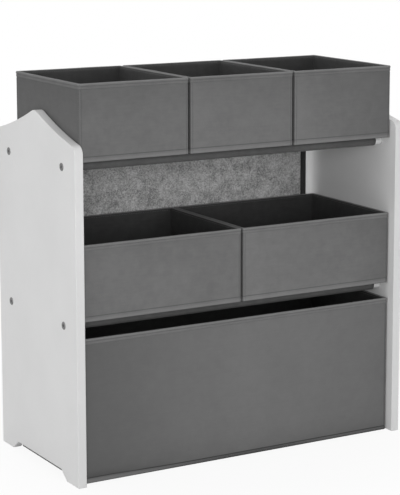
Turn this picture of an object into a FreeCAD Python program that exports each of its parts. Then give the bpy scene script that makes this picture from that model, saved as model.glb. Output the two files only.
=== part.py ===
import FreeCAD, Part
import math
import os

import Sketcher

# A free-standing rack for toys. Two gabled side panels are tied together by four steel tubes. Cloth
# slings between the tubes carry the upper and the middle row of cloth bins, and one wide bin stands on
# the floor between the panels. X runs to the right, Y to the back, Z up. The origin lies on the floor,
# under the middle of the rack.

# Driving dimensions in millimetres.
SIZES = {
    # Side panels
    "overall_width": 625.0,  # over the outer faces of the two panels
    "panel_depth": 295.0,  # front edge to back edge
    "panel_thickness": 15.0,
    "shoulder_rise": 35.0,  # upper tube axes to the corner of slope and upright edge, before rounding
    "gable_rise": 46.0,  # that corner to the one where both slopes meet, before rounding
    "gable_curve_radius": 800.0,  # the slopes are slightly hollow
    "peak_radius": 25.0,
    "shoulder_radius": 16.0,
    "foot_length": 42.5,  # floor contact of one foot
    "foot_slant": 21.5,  # how far the arch side leans over its height
    "arch_height": 15.0,
    "edge_rounding": 1.2,
    # Cross tubes
    "tube_diameter": 14.0,
    "tube_wall": 1.0,
    "tube_setback": 46.5,  # tube axes in from the front and back edges of the panels
    "upper_tube_height": 511.0,
    "middle_tube_height": 256.2,
    # Threaded inserts in the tube ends
    "insert_flange": 1.2,
    "insert_length": 20.0,
    "insert_ease": 0.1,
    # Panel screws
    "screw_diameter": 6.0,
    "screw_length": 30.0,  # under the head
    "screw_head_diameter": 13.0,
    "screw_head_height": 0.8,
    "screw_head_rounding": 0.4,
    "socket_across_flats": 4.0,
    "socket_depth": 1.4,
    "screw_hole_ease": 0.3,
    "thread_ease": 0.05,
    # Shelf slings
    "sling_cloth": 1.0,
    "sleeve_ease": 0.2,
    "sling_end_gap": 14.0,  # bare tube between the sling and the panel
    # Back panel
    "felt_thickness": 1.6,
    "edging_end_gap": 14.5,  # light gap between the edging and the panel
    "felt_overlap": 6.0,  # how far the felt runs past each rear tube axis
    "felt_ease": 0.2,
    "edging_width": 12.0,
    "edging_cloth": 0.7,
    # Bins, outside
    "bin_setback": 15.7,  # bin front behind the front edge of the panels
    "bin_rear_ease": 4.4,  # bin back to the edging of the back panel
    "bin_side_ease": 1.5,  # bin to panel
    "bin_gap": 4.0,  # bin to bin
    "bin_rest_ease": 0.3,  # bin to the sling under it
    "small_bin_height": 123.5,
    "lower_bin_headroom": 11.0,  # lower bin rim to the middle sleeves above it
    # Bins, layers from the outside in
    "rim_cloth": 0.6,
    "rim_height": 10.0,
    "hem_cloth": 0.4,
    "hem_height": 10.0,
    "shell_cloth": 0.8,
    "wall_board": 2.0,
    "lining_cloth": 0.6,
    "layer_ease": 0.1,
    "base_board": 3.0,
    "base_board_ease": 1.0,
}

SMALL_BINS = {"upper": ("left", "center", "right"), "middle": ("left", "right")}

doc = FreeCAD.newDocument("toy_storage_organizer")
sheet = doc.addObject("Spreadsheet::Sheet", "Sizes")
for row, (alias, number) in enumerate(SIZES.items(), start=1):
    sheet.set(f"A{row}", alias)
    sheet.set(f"B{row}", str(number))
    sheet.setAlias(f"B{row}", alias)
doc.recompute()


class Size:
    """A length with its number now and the sheet formula that drives it."""

    def __init__(self, number, formula):
        self.number = number
        self.formula = formula

    def __add__(self, other):
        other = as_size(other)
        return Size(self.number + other.number, f"({self.formula} + {other.formula})")

    def __sub__(self, other):
        other = as_size(other)
        return Size(self.number - other.number, f"({self.formula} - {other.formula})")

    def __mul__(self, factor):
        return Size(self.number * factor, f"({self.formula} * {factor})")

    def __truediv__(self, divisor):
        return Size(self.number / divisor, f"({self.formula} / {divisor})")

    def __neg__(self):
        return Size(-self.number, f"(0 - {self.formula})")


def as_size(value):
    return value if isinstance(value, Size) else Size(value, str(value))


def size(alias):
    """The named cell of the sheet."""
    return Size(SIZES[alias], f"Sizes.{alias}")


ZERO = as_size(0)
nodes = []


def as_node(thing, label):
    """Mark a finished sub-part, which is written under this name."""
    thing.Label = label
    nodes.append(thing)
    return thing


# Bound primitives


def bind(thing, prop, length):
    thing.setExpression(prop, as_size(length).formula)


def place(thing, corner):
    for axis, length in zip("xyz", corner):
        bind(thing, f"Placement.Base.{axis}", length)


def block(label, low, high):
    """A block from its lowest to its highest corner."""
    thing = doc.addObject("Part::Box", label)
    for prop, start, end in zip(("Length", "Width", "Height"), low, high):
        bind(thing, prop, end - start)
    place(thing, low)
    return thing


def cut(label, base, tool):
    thing = doc.addObject("Part::Cut", label)
    thing.Base = base
    thing.Tool = tool
    return thing


def group(label, things):
    thing = doc.addObject("Part::Compound", label)
    thing.Links = things
    return thing


def inset(low, high, sides, bottom=ZERO, top=ZERO):
    """The corners of a block drawn in by a wall all round, and at its bottom and top."""
    inner_low = (low[0] + sides, low[1] + sides, low[2] + bottom)
    inner_high = (high[0] - sides, high[1] - sides, high[2] - top)
    return inner_low, inner_high


# Sketched bodies


def new_body(label):
    return doc.addObject("PartDesign::Body", label)


def new_sketch(body, label, role):
    sketch = body.newObject("Sketcher::SketchObject", label)
    plane = next(item for item in body.Origin.OriginFeatures if item.Role == role)
    sketch.AttachmentSupport = [(plane, "")]
    sketch.MapMode = "FlatFace"
    return sketch


def point_at(size_pair):
    return FreeCAD.Vector(size_pair[0].number, size_pair[1].number, 0)


def fix_distance(sketch, geometry, end, kind, length):
    """Hold one point of a sketch at a size from the origin, along DistanceX or DistanceY."""
    index = sketch.addConstraint(Sketcher.Constraint(kind, -1, 1, geometry, end, length.number))
    sketch.setExpression(f"Constraints[{index}]", length.formula)


def fix_point(sketch, geometry, end, position):
    """Hold one point of a sketch in both directions, on an axis where a size is 0."""
    for kind, axis, length in (("DistanceX", -2, position[0]), ("DistanceY", -1, position[1])):
        if length is ZERO:
            sketch.addConstraint(Sketcher.Constraint("PointOnObject", geometry, end, axis))
        else:
            fix_distance(sketch, geometry, end, kind, length)


def draw_line(sketch, start, end):
    return sketch.addGeometry(Part.LineSegment(point_at(start), point_at(end)))


def draw_circle(sketch, center, diameter):
    circle = Part.Circle(point_at(center), FreeCAD.Vector(0, 0, 1), diameter.number / 2)
    index = sketch.addGeometry(circle)
    fix_point(sketch, index, 3, center)
    tie = sketch.addConstraint(Sketcher.Constraint("Diameter", index, diameter.number))
    sketch.setExpression(f"Constraints[{tie}]", diameter.formula)


def draw_arc(sketch, center, radius, start_angle, end_angle):
    """An arc anticlockwise between two angles, with its radius bound to the sheet."""
    circle = Part.Circle(FreeCAD.Vector(center[0], center[1], 0), FreeCAD.Vector(0, 0, 1), radius.number)
    index = sketch.addGeometry(Part.ArcOfCircle(circle, start_angle, end_angle))
    tie = sketch.addConstraint(Sketcher.Constraint("Radius", index, radius.number))
    sketch.setExpression(f"Constraints[{tie}]", radius.formula)
    return index


def join(sketch, one, one_end, other, other_end):
    sketch.addConstraint(Sketcher.Constraint("Coincident", one, one_end, other, other_end))


def pad(body, sketch, length):
    doc.recompute()
    feature = body.newObject("PartDesign::Pad", f"{body.Name}_pad")
    feature.Profile = sketch
    bind(feature, "Length", length)
    doc.recompute()
    return feature


def round_edges(body, feature, radius, wanted):
    """Fillet the edges of the feature whose middle point passes the test."""
    names = []
    for number, edge in enumerate(feature.Shape.Edges, start=1):
        middle = edge.valueAt((edge.FirstParameter + edge.LastParameter) / 2)
        if wanted(middle):
            names.append(f"Edge{number}")
    fillet = body.newObject("PartDesign::Fillet", f"{body.Name}_rounding")
    fillet.Base = (feature, names)
    bind(fillet, "Radius", radius)
    doc.recompute()
    return fillet


# Places that several pieces share

panel_outer = size("overall_width") / 2
panel_inner = panel_outer - size("panel_thickness")
panel_front = -(size("panel_depth") / 2)
panel_back = size("panel_depth") / 2
tube_radius = size("tube_diameter") / 2
tube_y = panel_back - size("tube_setback")
shoulder_height = size("upper_tube_height") + size("shoulder_rise")
gable_height = shoulder_height + size("gable_rise")
tube_half = panel_inner - size("insert_flange")
sleeve_bore = tube_radius + size("sleeve_ease")
sleeve_radius = sleeve_bore + size("sling_cloth")
sling_half = panel_inner - size("sling_end_gap")
felt_face = tube_y + sleeve_radius + size("felt_ease")
edging_wrap = size("edging_cloth") + size("layer_ease")

LEVELS = {"upper": size("upper_tube_height"), "middle": size("middle_tube_height")}
ROWS = {"front": -tube_y, "rear": tube_y}
TUBE_AXES = [(y, z) for z in LEVELS.values() for y in ROWS.values()]


# Side panels


def gable_arc(sketch, low, high):
    """The hollow curve of one slope, from the shoulder corner to the gable corner."""
    start = point_at(low)
    end = point_at(high)
    radius = size("gable_curve_radius")
    chord = end - start
    rise = math.sqrt(radius.number**2 - (chord.Length / 2) ** 2)
    across = FreeCAD.Vector(-chord.y, chord.x, 0).normalize()
    center = (start + end) / 2 + across * math.copysign(rise, across.y)
    angles = sorted(math.atan2(p.y - center.y, p.x - center.x) % (2 * math.pi) for p in (start, end))
    return draw_arc(sketch, center, radius, angles[0], angles[1])


def panel_outline(body):
    """The panel seen from its side: feet and arch below, gable above."""
    sketch = new_sketch(body, f"{body.Name}_outline", "YZ_Plane")
    foot_end = panel_back - size("foot_length")
    arch_end = foot_end - size("foot_slant")
    arch_top = size("arch_height")
    front_shoulder = (panel_front, shoulder_height)
    back_shoulder = (panel_back, shoulder_height)
    peak = (ZERO, gable_height)
    corners = [
        front_shoulder,
        (panel_front, ZERO),
        (-foot_end, ZERO),
        (-arch_end, arch_top),
        (arch_end, arch_top),
        (foot_end, ZERO),
        (panel_back, ZERO),
        back_shoulder,
    ]
    lines = [draw_line(sketch, start, end) for start, end in zip(corners, corners[1:])]
    for line, corner in zip(lines, corners):
        fix_point(sketch, line, 1, corner)
    fix_point(sketch, lines[-1], 2, back_shoulder)
    for line, following in zip(lines, lines[1:]):
        join(sketch, line, 2, following, 1)
    front_slope = gable_arc(sketch, front_shoulder, peak)
    back_slope = gable_arc(sketch, back_shoulder, peak)
    # Both arcs run anticlockwise, so the front one starts at the shoulder and the back one at the peak.
    join(sketch, front_slope, 1, lines[0], 1)
    join(sketch, back_slope, 2, lines[-1], 2)
    join(sketch, front_slope, 2, back_slope, 1)
    fix_point(sketch, front_slope, 2, peak)
    return sketch


def screw_holes(body):
    sketch = new_sketch(body, f"{body.Name}_hole_sketch", "YZ_Plane")
    hole = size("screw_diameter") + size("screw_hole_ease") * 2
    for axis in TUBE_AXES:
        draw_circle(sketch, axis, hole)
    doc.recompute()
    pocket = body.newObject("PartDesign::Pocket", f"{body.Name}_screw_holes")
    pocket.Profile = sketch
    pocket.Type = "ThroughAll"
    pocket.Reversed = True
    doc.recompute()
    return pocket


def side_panel(side, left_face):
    body = new_body(f"{side}_side_panel")
    board = pad(body, panel_outline(body), size("panel_thickness"))
    middle = size("panel_thickness").number / 2

    def crosswise(point, y, z):
        place_found = (abs(point.y), point.z, point.x)
        return all(abs(a - b) < 0.01 for a, b in zip(place_found, (y.number, z.number, middle)))

    def on_shoulder(point):
        return crosswise(point, panel_back, shoulder_height)

    def on_peak(point):
        return crosswise(point, ZERO, gable_height)

    board = round_edges(body, board, size("shoulder_radius"), on_shoulder)
    board = round_edges(body, board, size("peak_radius"), on_peak)
    solid_volume = board.Shape.Volume
    pocket = screw_holes(body)
    if pocket.Shape.Volume > solid_volume - 1:
        raise ValueError("the screw holes cut nothing")

    def on_face_outline(point):
        flat = abs(abs(point.x - middle) - middle) < 0.01
        is_hole = any(
            math.hypot(point.y - y.number, point.z - z.number) < size("screw_diameter").number
            for y, z in TUBE_AXES
        )
        return flat and not is_hole

    round_edges(body, pocket, size("edge_rounding"), on_face_outline)
    place(body, (left_face, ZERO, ZERO))
    as_node(body, f"{side}_side_panel")


side_panel("left", -panel_outer)
side_panel("right", panel_inner)


# Cross tubes


def cross_tube(label, y, z):
    body = new_body(label)
    sketch = new_sketch(body, f"{label}_ring", "YZ_Plane")
    draw_circle(sketch, (ZERO, ZERO), size("tube_diameter"))
    draw_circle(sketch, (ZERO, ZERO), size("tube_diameter") - size("tube_wall") * 2)
    pad(body, sketch, tube_half * 2)
    place(body, (-tube_half, y, z))
    as_node(body, label)


for level, z in LEVELS.items():
    for row, y in ROWS.items():
        cross_tube(f"{level}_{row}_tube", y, z)


# Threaded inserts and panel screws. One of each is turned on a lathe along X, with its outer end at
# the origin, and is repeated at the four tube ends of a side.


def turned_body(label, profile):
    """A solid of revolution about X, from the points of its half section."""
    body = new_body(label)
    sketch = new_sketch(body, f"{label}_section", "XY_Plane")
    ring = profile[1:] + profile[:1]
    lines = [draw_line(sketch, start, end) for start, end in zip(profile, ring)]
    for line, following, corner in zip(lines, lines[1:] + lines[:1], profile):
        join(sketch, line, 2, following, 1)
        fix_point(sketch, line, 1, corner)
    doc.recompute()
    turn = body.newObject("PartDesign::Revolution", f"{label}_turn")
    turn.Profile = sketch
    axis = next(item for item in body.Origin.OriginFeatures if item.Role == "X_Axis")
    turn.ReferenceAxis = (axis, [""])
    turn.Angle = 360
    doc.recompute()
    return body


def insert_pattern():
    bore = size("screw_diameter") / 2 + size("thread_ease")
    plug = tube_radius - size("tube_wall") - size("insert_ease")
    flange = size("insert_flange")
    end = flange + size("insert_length")
    return turned_body(
        "insert_pattern",
        [(ZERO, bore), (end, bore), (end, plug), (flange, plug), (flange, tube_radius), (ZERO, tube_radius)],
    )


def screw_pattern():
    """Head outwards along -X from the panel face, shank inwards along +X."""
    head = size("screw_head_diameter") / 2
    height = size("screw_head_height")
    rounding = size("screw_head_rounding")
    shank = size("screw_diameter") / 2
    body = turned_body(
        "screw_pattern",
        [
            (-height, ZERO),
            (size("screw_length"), ZERO),
            (size("screw_length"), shank),
            (ZERO, shank),
            (ZERO, head),
            (rounding - height, head),
            (-height, head - rounding),
        ],
    )
    sketch = new_sketch(body, "screw_socket_hexagon", "YZ_Plane")
    corner_radius = size("socket_across_flats") / math.sqrt(3)
    corners = []
    for step in range(6):
        turn = math.radians(60 * step + 30)
        corners.append((corner_radius * round(math.cos(turn), 9), corner_radius * round(math.sin(turn), 9)))
    lines = [draw_line(sketch, start, end) for start, end in zip(corners, corners[1:] + corners[:1])]
    for line, following, corner in zip(lines, lines[1:] + lines[:1], corners):
        join(sketch, line, 2, following, 1)
        fix_point(sketch, line, 1, corner)
    sketch.setExpression("AttachmentOffset.Base.z", (-height).formula)
    doc.recompute()
    solid_volume = body.Shape.Volume
    pocket = body.newObject("PartDesign::Pocket", "screw_socket")
    pocket.Profile = sketch
    pocket.Reversed = True
    bind(pocket, "Length", size("socket_depth"))
    doc.recompute()
    if pocket.Shape.Volume > solid_volume - 1:
        raise ValueError("the screw socket cuts nothing")
    return body


def at_tube_ends(label, pattern, side, face):
    """Copies of a pattern at the four tube ends of one side, all turned towards the middle."""
    copies = []
    for number, (y, z) in enumerate(TUBE_AXES, start=1):
        copy = doc.addObject("App::Link", f"{label}_{number}")
        copy.LinkedObject = pattern
        if side == "right":
            half_turn = FreeCAD.Rotation(FreeCAD.Vector(0, 0, 1), 180)
            copy.Placement = FreeCAD.Placement(FreeCAD.Vector(), half_turn)
        place(copy, (face, y, z))
        copies.append(copy)
    as_node(group(label, copies), label)


insert = insert_pattern()
screw = screw_pattern()
at_tube_ends("left_tube_inserts", insert, "left", -panel_inner)
at_tube_ends("right_tube_inserts", insert, "right", panel_inner)
at_tube_ends("left_panel_screws", screw, "left", -panel_outer)
at_tube_ends("right_panel_screws", screw, "right", panel_outer)


# Shelf slings: one length of cloth, with a sleeve sewn round each tube


def shelf_sling(level, z):
    body = new_body(f"{level}_shelf_sling")
    sketch = new_sketch(body, f"{level}_sling_section", "YZ_Plane")
    top = sleeve_radius
    underside = sleeve_bore
    # The sheet's underside runs into each sleeve where the sleeve has the same height.
    reach = math.sqrt(top.number**2 - underside.number**2)
    spread = math.atan2(underside.number, reach)
    y = tube_y.number
    upper_line = draw_line(sketch, (tube_y, top), (-tube_y, top))
    lower_line = sketch.addGeometry(
        Part.LineSegment(
            FreeCAD.Vector(-y + reach, underside.number, 0), FreeCAD.Vector(y - reach, underside.number, 0)
        )
    )
    front_sleeve = draw_arc(sketch, (-y, 0), sleeve_radius, math.pi / 2, 2 * math.pi + spread)
    rear_sleeve = draw_arc(sketch, (y, 0), sleeve_radius, -math.pi - spread, math.pi / 2)
    fix_point(sketch, front_sleeve, 3, (-tube_y, ZERO))
    fix_point(sketch, rear_sleeve, 3, (tube_y, ZERO))
    fix_distance(sketch, upper_line, 1, "DistanceX", tube_y)
    fix_distance(sketch, upper_line, 2, "DistanceX", -tube_y)
    join(sketch, upper_line, 2, front_sleeve, 1)
    join(sketch, front_sleeve, 2, lower_line, 1)
    join(sketch, lower_line, 2, rear_sleeve, 1)
    join(sketch, rear_sleeve, 2, upper_line, 1)
    fix_distance(sketch, lower_line, 1, "DistanceY", underside)
    fix_distance(sketch, lower_line, 2, "DistanceY", underside)
    for axis in ROWS.values():
        draw_circle(sketch, (axis, ZERO), sleeve_bore * 2)
    pad(body, sketch, sling_half * 2)
    place(body, (-sling_half, ZERO, z))
    as_node(body, f"{level}_shelf_sling")


for level, z in LEVELS.items():
    shelf_sling(level, z)


# Back panel: felt sewn to the backs of the two rear sleeves, with an edging folded over each side


def back_panel():
    felt_half = panel_inner - size("edging_end_gap") - size("edging_width") / 2
    low = (-felt_half, felt_face, LEVELS["middle"] - size("felt_overlap"))
    high = (felt_half, felt_face + size("felt_thickness"), LEVELS["upper"] + size("felt_overlap"))
    as_node(block("back_panel_felt", low, high), "back_panel")
    # The edging stays between the sleeves, so that its front leg doesn't press into them.
    bottom = LEVELS["middle"] + sleeve_radius + size("felt_ease")
    top = LEVELS["upper"] - sleeve_radius - size("felt_ease")
    for side, edge, sign in (("left", -felt_half, -1), ("right", felt_half, 1)):
        label = f"back_panel_{side}_edging"
        inner = edge - size("edging_width") * (sign / 2)
        outer = edge + size("edging_width") * (sign / 2)
        xs = (outer, inner) if sign < 0 else (inner, outer)
        strip_low = (xs[0], low[1] - edging_wrap, bottom)
        strip_high = (xs[1], high[1] + edging_wrap, top)
        strip = block(f"{label}_strip", strip_low, strip_high)
        slot_end = edge + size("layer_ease") * sign
        slot = (slot_end, inner + size("layer_ease")) if sign < 0 else (inner - size("layer_ease"), slot_end)
        fold = block(
            f"{label}_fold",
            (slot[0], low[1] - size("layer_ease"), bottom),
            (slot[1], high[1] + size("layer_ease"), top),
        )
        as_node(cut(f"{label}_cut", strip, fold), label)


back_panel()


# Bins


def hollowed(label, outer, inner):
    """A block with another cut out of it: a tray, or a ring where the inner one runs right through."""
    return cut(label, block(f"{label}_outside", *outer), block(f"{label}_inside", *inner))


def wall_boards(label, low, high, thickness):
    """Front and rear boards over the whole width, side boards between them."""
    front_end = low[1] + thickness
    rear_start = high[1] - thickness
    side_start = front_end + size("layer_ease")
    side_end = rear_start - size("layer_ease")
    boards = [
        block(f"{label}_front", low, (high[0], front_end, high[2])),
        block(f"{label}_rear", (low[0], rear_start, low[2]), high),
        block(f"{label}_left", (low[0], side_start, low[2]), (low[0] + thickness, side_end, high[2])),
        block(f"{label}_right", (high[0] - thickness, side_start, low[2]), (high[0], side_end, high[2])),
    ]
    return group(f"{label}_set", boards)


def rim_binding(label, low, high, wall):
    """A folded cloth ring over the top of the wall, open below."""
    cloth = size("rim_cloth")
    foot = high[2] - size("rim_height")
    band_low = (low[0], low[1], foot)
    ring = hollowed(f"{label}_band", (band_low, high), inset(band_low, high, wall))
    outer_leg = inset(band_low, high, cloth, top=cloth)
    inner_leg = inset(band_low, high, wall - cloth, top=cloth)
    return cut(f"{label}_cut", ring, hollowed(f"{label}_fold", outer_leg, inner_leg))


def bin_nodes(name, low, high):
    """One bin from its outer corners: shell, wall boards, lining, rim binding and base board."""
    ease = size("layer_ease")
    cloth = size("rim_cloth")
    shell_face = cloth + ease
    board_face = shell_face + size("shell_cloth") + ease
    lining_face = board_face + size("wall_board") + ease
    inside_face = lining_face + size("lining_cloth")
    wall = inside_face + ease + cloth
    top_gap = cloth + ease
    board_bottom = size("shell_cloth") + ease
    lining_top = board_bottom + size("lining_cloth")

    shell = inset(low, high, shell_face, top=top_gap)
    hem = inset(low, high, shell_face - size("hem_cloth"))
    hem_high = (hem[1][0], hem[1][1], low[2] + size("hem_height"))
    outside = doc.addObject("Part::Fuse", f"{name}_shell_outside")
    outside.Base = block(f"{name}_shell_walls", *shell)
    outside.Tool = block(f"{name}_shell_hem", hem[0], hem_high)
    hollow = inset(low, high, shell_face + size("shell_cloth"), bottom=size("shell_cloth"))
    as_node(
        cut(f"{name}_shell_cut", outside, block(f"{name}_shell_hollow", *hollow)), f"{name}_shell"
    )

    boards = inset(low, high, board_face, bottom=board_bottom, top=top_gap)
    as_node(wall_boards(f"{name}_boards", *boards, size("wall_board")), f"{name}_wall_boards")

    lining = inset(low, high, lining_face, bottom=board_bottom, top=top_gap)
    lining_hollow = inset(low, high, inside_face, bottom=lining_top)
    as_node(hollowed(f"{name}_lining_box", lining, lining_hollow), f"{name}_lining")

    as_node(rim_binding(f"{name}_rim", low, high, wall), f"{name}_rim_binding")

    base = inset(low, high, inside_face + size("base_board_ease"), bottom=lining_top + ease)
    base_high = (base[1][0], base[1][1], base[0][2] + size("base_board"))
    as_node(block(f"{name}_base", base[0], base_high), f"{name}_base_board")


def bin_row(names, floor, height):
    """Bins of equal width side by side between the panels."""
    row_half = panel_inner - size("bin_side_ease")
    count = len(names)
    width = (row_half * 2 - size("bin_gap") * (count - 1)) / count
    front = panel_front + size("bin_setback")
    rear = felt_face - edging_wrap - size("bin_rear_ease")
    for place_number, name in enumerate(names):
        left = -row_half + (width + size("bin_gap")) * place_number
        low = (left, front, floor)
        high = (left + width, rear, floor + height)
        bin_nodes(name, low, high)


rest_height = sleeve_radius + size("bin_rest_ease")
for level, sides in SMALL_BINS.items():
    names = [f"{level}_{side}_bin" for side in sides]
    bin_row(names, LEVELS[level] + rest_height, size("small_bin_height"))
lower_bin_top = LEVELS["middle"] - sleeve_radius - size("lower_bin_headroom")
bin_row(["lower_bin"], ZERO, lower_bin_top)

doc.recompute()

# Every object has to be sound before a file is written.
for thing in doc.Objects:
    if "Invalid" in thing.State or "Error" in thing.State:
        raise ValueError(f"{thing.Label} failed: {thing.State}")
for thing in nodes:
    if thing.Shape.isNull() or not thing.Shape.isValid():
        raise ValueError(f"{thing.Label} has no valid shape")

os.makedirs("parts", exist_ok=True)
for thing in nodes:
    thing.Shape.exportStep(os.path.join("parts", f"{thing.Label}.step"))
    corners = thing.Shape.BoundBox
    print(
        f"{thing.Label}: {len(thing.Shape.Solids)} solid, {thing.Shape.Volume / 1000:.1f} cm3, "
        f"x {corners.XMin:.1f}..{corners.XMax:.1f}, y {corners.YMin:.1f}..{corners.YMax:.1f}, "
        f"z {corners.ZMin:.1f}..{corners.ZMax:.1f}"
    )
print(f"{len(nodes)} sub-parts written")
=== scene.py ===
# %% [markdown]
# # A storage organizer with six cloth bins
# Two painted boards stand on edge. Four steel tubes hold them apart, and each pair of tubes
# carries a shelf of cloth with a sleeve sewn round each tube. A felt back hangs between the two
# shelves, and six sewn bins stand on the shelves and on the floor between the boards.
# The solids were made in a CAD program and come in as a fixed frame. This lesson dresses them:
# rigid parts keep their solid and get a real finish, and everything that is sewn is made anew.

# %% Load the frame
import math

import bmesh
import bpy
from mathutils import Matrix, Vector, noise


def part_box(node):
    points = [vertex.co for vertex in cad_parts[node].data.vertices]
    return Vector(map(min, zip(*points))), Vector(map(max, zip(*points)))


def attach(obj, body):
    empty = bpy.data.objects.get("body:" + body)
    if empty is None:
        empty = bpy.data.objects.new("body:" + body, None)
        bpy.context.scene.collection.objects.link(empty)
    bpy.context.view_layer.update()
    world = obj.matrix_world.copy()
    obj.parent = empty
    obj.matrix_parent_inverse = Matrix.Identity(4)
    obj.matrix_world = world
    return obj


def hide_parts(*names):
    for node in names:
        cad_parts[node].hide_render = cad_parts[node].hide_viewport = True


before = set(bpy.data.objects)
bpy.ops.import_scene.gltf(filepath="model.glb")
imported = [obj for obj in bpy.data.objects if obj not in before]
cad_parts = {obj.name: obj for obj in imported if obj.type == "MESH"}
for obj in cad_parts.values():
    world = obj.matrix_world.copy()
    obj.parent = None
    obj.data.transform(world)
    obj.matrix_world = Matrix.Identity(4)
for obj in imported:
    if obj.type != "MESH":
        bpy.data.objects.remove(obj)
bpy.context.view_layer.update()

# %% [markdown]
# ## Camera
# The picture was taken from the left, at about the height of a standing child, and upright
# lines stay almost upright in it. A large lens shift alone would do that, but it moves the
# object off the middle of every other view, so a small tilt and a small shift share the work.

# %% Camera
MM = 0.001
PICTURE_WIDTH, PICTURE_HEIGHT = 400, 495
FOCAL_PIXELS = 1789.07
LENS_SHIFT = (-0.041, -0.1495)
CAMERA_PLACE = (-1.50581, -2.60917, 0.93320)
TURNED_RIGHT, TILTED_DOWN = math.radians(30.573), math.radians(8.889)

camera_data = bpy.data.cameras.new("camera")
camera_data.lens = FOCAL_PIXELS / max(PICTURE_WIDTH, PICTURE_HEIGHT) * camera_data.sensor_width
camera_data.shift_x, camera_data.shift_y = LENS_SHIFT
camera = bpy.data.objects.new("camera", camera_data)
bpy.context.scene.collection.objects.link(camera)
camera.location = CAMERA_PLACE
camera.rotation_euler = (math.pi / 2 - TILTED_DOWN, 0, -TURNED_RIGHT)
bpy.context.scene.camera = camera
print(f"the lens is {camera_data.lens:.1f} mm long")

# %% [markdown]
# ## Shader maths as Python
# A finish is worked out from noise and waves, which takes many small Math nodes, and written one
# by one they are hard to read. A `Wire` stands for one output of a node, so that `1 - mask` or
# `dots * 0.3` adds its Math node by itself. Every other node comes from `Finish.node`, which
# sets the node's settings first and then fills its sockets with numbers or wires.

# %% Wires
class Wire:
    """One output of a node."""

    def __init__(self, finish, node, output):
        self.finish, self.source, self.socket = finish, node, node.outputs[output]

    def other(self, output):
        return Wire(self.finish, self.source, output)

    def math(self, operation, *values):
        settings = {"operation": operation}
        return self.finish.node("ShaderNodeMath", settings, dict(enumerate(values)))

    def __add__(self, value):
        return self.math("ADD", self, value)

    def __radd__(self, value):
        return self.math("ADD", value, self)

    def __sub__(self, value):
        return self.math("SUBTRACT", self, value)

    def __rsub__(self, value):
        return self.math("SUBTRACT", value, self)

    def __mul__(self, value):
        return self.math("MULTIPLY", self, value)

    def __rmul__(self, value):
        return self.math("MULTIPLY", value, self)

    def __pow__(self, value):
        return self.math("POWER", self, value)

    def __abs__(self):
        return self.math("ABSOLUTE", self)

    def wave(self, length):
        """A wave from -1 to 1 that repeats after length."""
        return self.math("SINE", self * (2 * math.pi / length))

    def spread(self, low, high, new_low=0.0, new_high=1.0):
        """new_low where this is low, new_high where it is high, and smooth between them."""
        names = ("Value", "From Min", "From Max", "To Min", "To Max")
        values = (self, low, high, new_low, new_high)
        settings = {"interpolation_type": "SMOOTHSTEP"}
        return self.finish.node("ShaderNodeMapRange", settings, dict(zip(names, values)))

    def between(self, first, second):
        """The first colour where this is 0, the second where it is 1."""
        sockets = {0: self, 6: first, 7: second}
        return self.finish.node("ShaderNodeMix", {"data_type": "RGBA"}, sockets, 2)


# %% [markdown]
# A `Finish` holds the node tree of one material, or of the world, and the few nodes that nearly
# every finish here starts from: a place in millimetres, noise, a stored number, and bumps.

# %% Finishes
class Finish:
    """A node tree, of a material or of the world, that is filled in Python."""

    def __init__(self, owner):
        owner.use_nodes = True
        self.owner, self.tree = owner, owner.node_tree
        self.tree.nodes.clear()

    def node(self, kind, settings=None, sockets=None, output=0):
        node = self.tree.nodes.new(kind)
        for name, value in (settings or {}).items():
            setattr(node, name, value)
        for name, value in (sockets or {}).items():
            if isinstance(value, Wire):
                self.tree.links.new(value.socket, node.inputs[name])
            else:
                node.inputs[name].default_value = value
        return Wire(self, node, output)

    def stretched(self, place, scale, turn=0.0):
        """Turned by turn degrees about Z, and in thousandths of a metre times scale."""
        stretch = [share / MM for share in scale]
        sockets = {"Vector": place, "Scale": stretch, "Rotation": (0, 0, math.radians(turn))}
        return self.node("ShaderNodeMapping", None, sockets)

    def solid_place(self, scale=(1, 1, 1)):
        """The point's place in the object, in millimetres."""
        return self.stretched(self.node("ShaderNodeTexCoord", output="Object"), scale)

    def cloth_place(self, scale=(1, 1, 1), turn=0.0):
        """The point's place on the flat cloth, in millimetres."""
        flat = self.node("ShaderNodeUVMap", {"uv_map": "cloth"})
        return self.stretched(flat, scale, turn)

    def grain(self, place, lumps, detail=2.0, harshness=0.5):
        """Noise from 0 to 1, with that many lumps in a millimetre of place."""
        sockets = {"Vector": place, "Scale": lumps, "Detail": detail, "Roughness": harshness}
        return self.node("ShaderNodeTexNoise", None, sockets)

    def stored(self, name):
        """A number that is stored on the piece's points."""
        return self.node("ShaderNodeAttribute", {"attribute_name": name}, output="Fac")

    def split(self, place):
        """The three numbers of a place."""
        parts = self.node("ShaderNodeSeparateXYZ", None, {0: place})
        return [parts.other(axis) for axis in "XYZ"]

    def relief(self, height, millimetres):
        """Bumps: height 1 stands that far above height 0."""
        sockets = {"Height": height, "Distance": millimetres * MM, "Strength": 1.0}
        return self.node("ShaderNodeBump", None, sockets)

    def end(self, shader, kind="ShaderNodeOutputMaterial"):
        end = self.tree.nodes.new(kind)
        self.tree.links.new(shader.socket, end.inputs["Surface"])
        return self.owner

    def surface(self, sockets):
        return self.end(self.node("ShaderNodeBsdfPrincipled", None, sockets))


def new_finish(name):
    return Finish(bpy.data.materials.new(name))


def grey(level):
    """The colour of a grey that is seen as level out of 255, as a shader wants it."""
    linear = ((level / 255 + 0.055) / 1.055) ** 2.4
    return (linear, linear, linear, 1.0)


print("a grey seen as 128 is written as", round(grey(128)[0], 4))

# %% [markdown]
# ## Room and light
# The object stands on a pale floor in an even white room. The background is white because the
# floor and the world say so to the camera alone, so no extra light falls on the object for it.
# A share of plain diffuse stays in the floor, and the soft shadow shows in that share, which
# fades away further out, where no shadow falls.

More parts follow.
